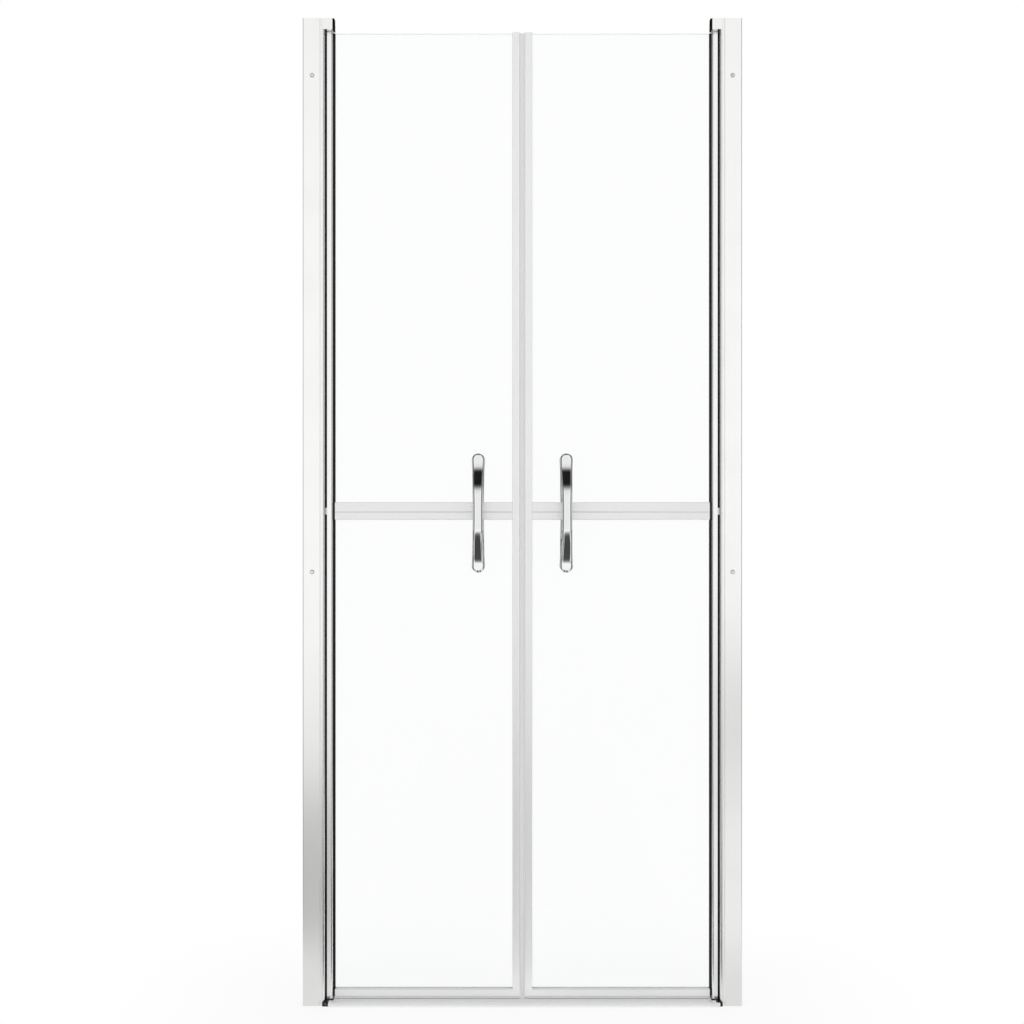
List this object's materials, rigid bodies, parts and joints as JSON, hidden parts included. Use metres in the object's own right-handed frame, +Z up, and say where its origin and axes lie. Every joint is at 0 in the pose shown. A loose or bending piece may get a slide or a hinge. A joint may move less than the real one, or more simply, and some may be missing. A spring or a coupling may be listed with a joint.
{
  "type": "shower door",
  "caption": "Swinging double-leaf glass shower door for a niche, with satin wall channels, middle rails, meeting stiles, bow handles and a low threshold.",
  "frame": {"origin": "on the shower tray, midway between the walls and midway through the door's depth", "axes": "+X to the right seen from the bathroom, +Y into the shower, +Z up"},
  "size_m": [0.845, 0.086, 1.9],
  "materials": {
    "profile_satin": "satin anodised",
    "leaf_satin": "satin anodised",
    "handle_chrome": "polished",
    "clear_glass": "clear",
    "black_rubber": "matt",
    "black_plastic": "fine matt",
    "light_plastic": "matt",
    "clear_plastic": "clear",
    "grey_magnet": "matt",
    "steel": "bright",
    "screw_steel": "bright",
    "sealing_tape": "matt"
  },
  "bodies": {
    "frame": {"threshold": "profile_satin", "threshold_tape": "sealing_tape", "adjusting_profile_left": "profile_satin", "top_pivot_block_left": "profile_satin", "bottom_pivot_foot_left": "black_plastic", "block_screws_left": "steel", "pivot_bushes_left": "light_plastic", "groove_seal_left": "black_rubber", "adjusting_profile_right": "profile_satin", "top_pivot_block_right": "profile_satin", "bottom_pivot_foot_right": "black_plastic", "block_screws_right": "steel", "pivot_bushes_right": "light_plastic", "groove_seal_right": "black_rubber"},
    "left_wall_channel": {"wall_profile_left": "profile_satin", "clamp_screws_left": "screw_steel", "clamp_nuts_left": "steel"},
    "left_leaf": {"hinge_stile_left": "leaf_satin", "stile_plugs_left": "light_plastic", "pivot_pins_left": "steel", "mid_guide_left": "light_plastic", "hinge_gasket_left": "black_rubber", "upper_pane_left": "clear_glass", "lower_pane_left": "clear_glass", "pane_liners_left": "clear_plastic", "mid_rail_left": "leaf_satin", "bottom_rail_left": "leaf_satin", "rail_joints_left": "black_plastic", "rail_screw_left": "steel", "drip_seal_left": "clear_plastic", "meeting_stile_left": "leaf_satin", "magnet_carrier_left": "clear_plastic", "magnet_strip_left": "grey_magnet", "outer_handle_left": "handle_chrome", "inner_handle_left": "handle_chrome", "handle_bushes_left": "clear_plastic", "handle_studs_left": "steel"},
    "right_wall_channel": {"wall_profile_right": "profile_satin", "clamp_screws_right": "screw_steel", "clamp_nuts_right": "steel"},
    "right_leaf": {"hinge_stile_right": "leaf_satin", "stile_plugs_right": "light_plastic", "pivot_pins_right": "steel", "mid_guide_right": "light_plastic", "hinge_gasket_right": "black_rubber", "upper_pane_right": "clear_glass", "lower_pane_right": "clear_glass", "pane_liners_right": "clear_plastic", "mid_rail_right": "leaf_satin", "bottom_rail_right": "leaf_satin", "rail_joints_right": "black_plastic", "rail_screw_right": "steel", "drip_seal_right": "clear_plastic", "meeting_stile_right": "leaf_satin", "magnet_carrier_right": "clear_plastic", "magnet_strip_right": "grey_magnet", "outer_handle_right": "handle_chrome", "inner_handle_right": "handle_chrome", "handle_bushes_right": "clear_plastic", "handle_studs_right": "steel"}
  },
  "joints": [
    {"name": "left_leaf_hinge", "type": "hinge", "parent": "frame", "child": "left_leaf", "pos_m": [-0.373, 0, 0.95], "axis": [0, 0, 1], "range_deg": [-90, 90]},
    {"name": "left_width_adjuster", "type": "slide", "parent": "frame", "child": "left_wall_channel", "axis": [-1, 0, 0], "range_m": [0, 0.01]},
    {"name": "right_leaf_hinge", "type": "hinge", "parent": "frame", "child": "right_leaf", "pos_m": [0.373, 0, 0.95], "axis": [0, 0, 1], "range_deg": [-90, 90]},
    {"name": "right_width_adjuster", "type": "slide", "parent": "frame", "child": "right_wall_channel", "axis": [1, 0, 0], "range_m": [0, 0.01]}
  ]
}
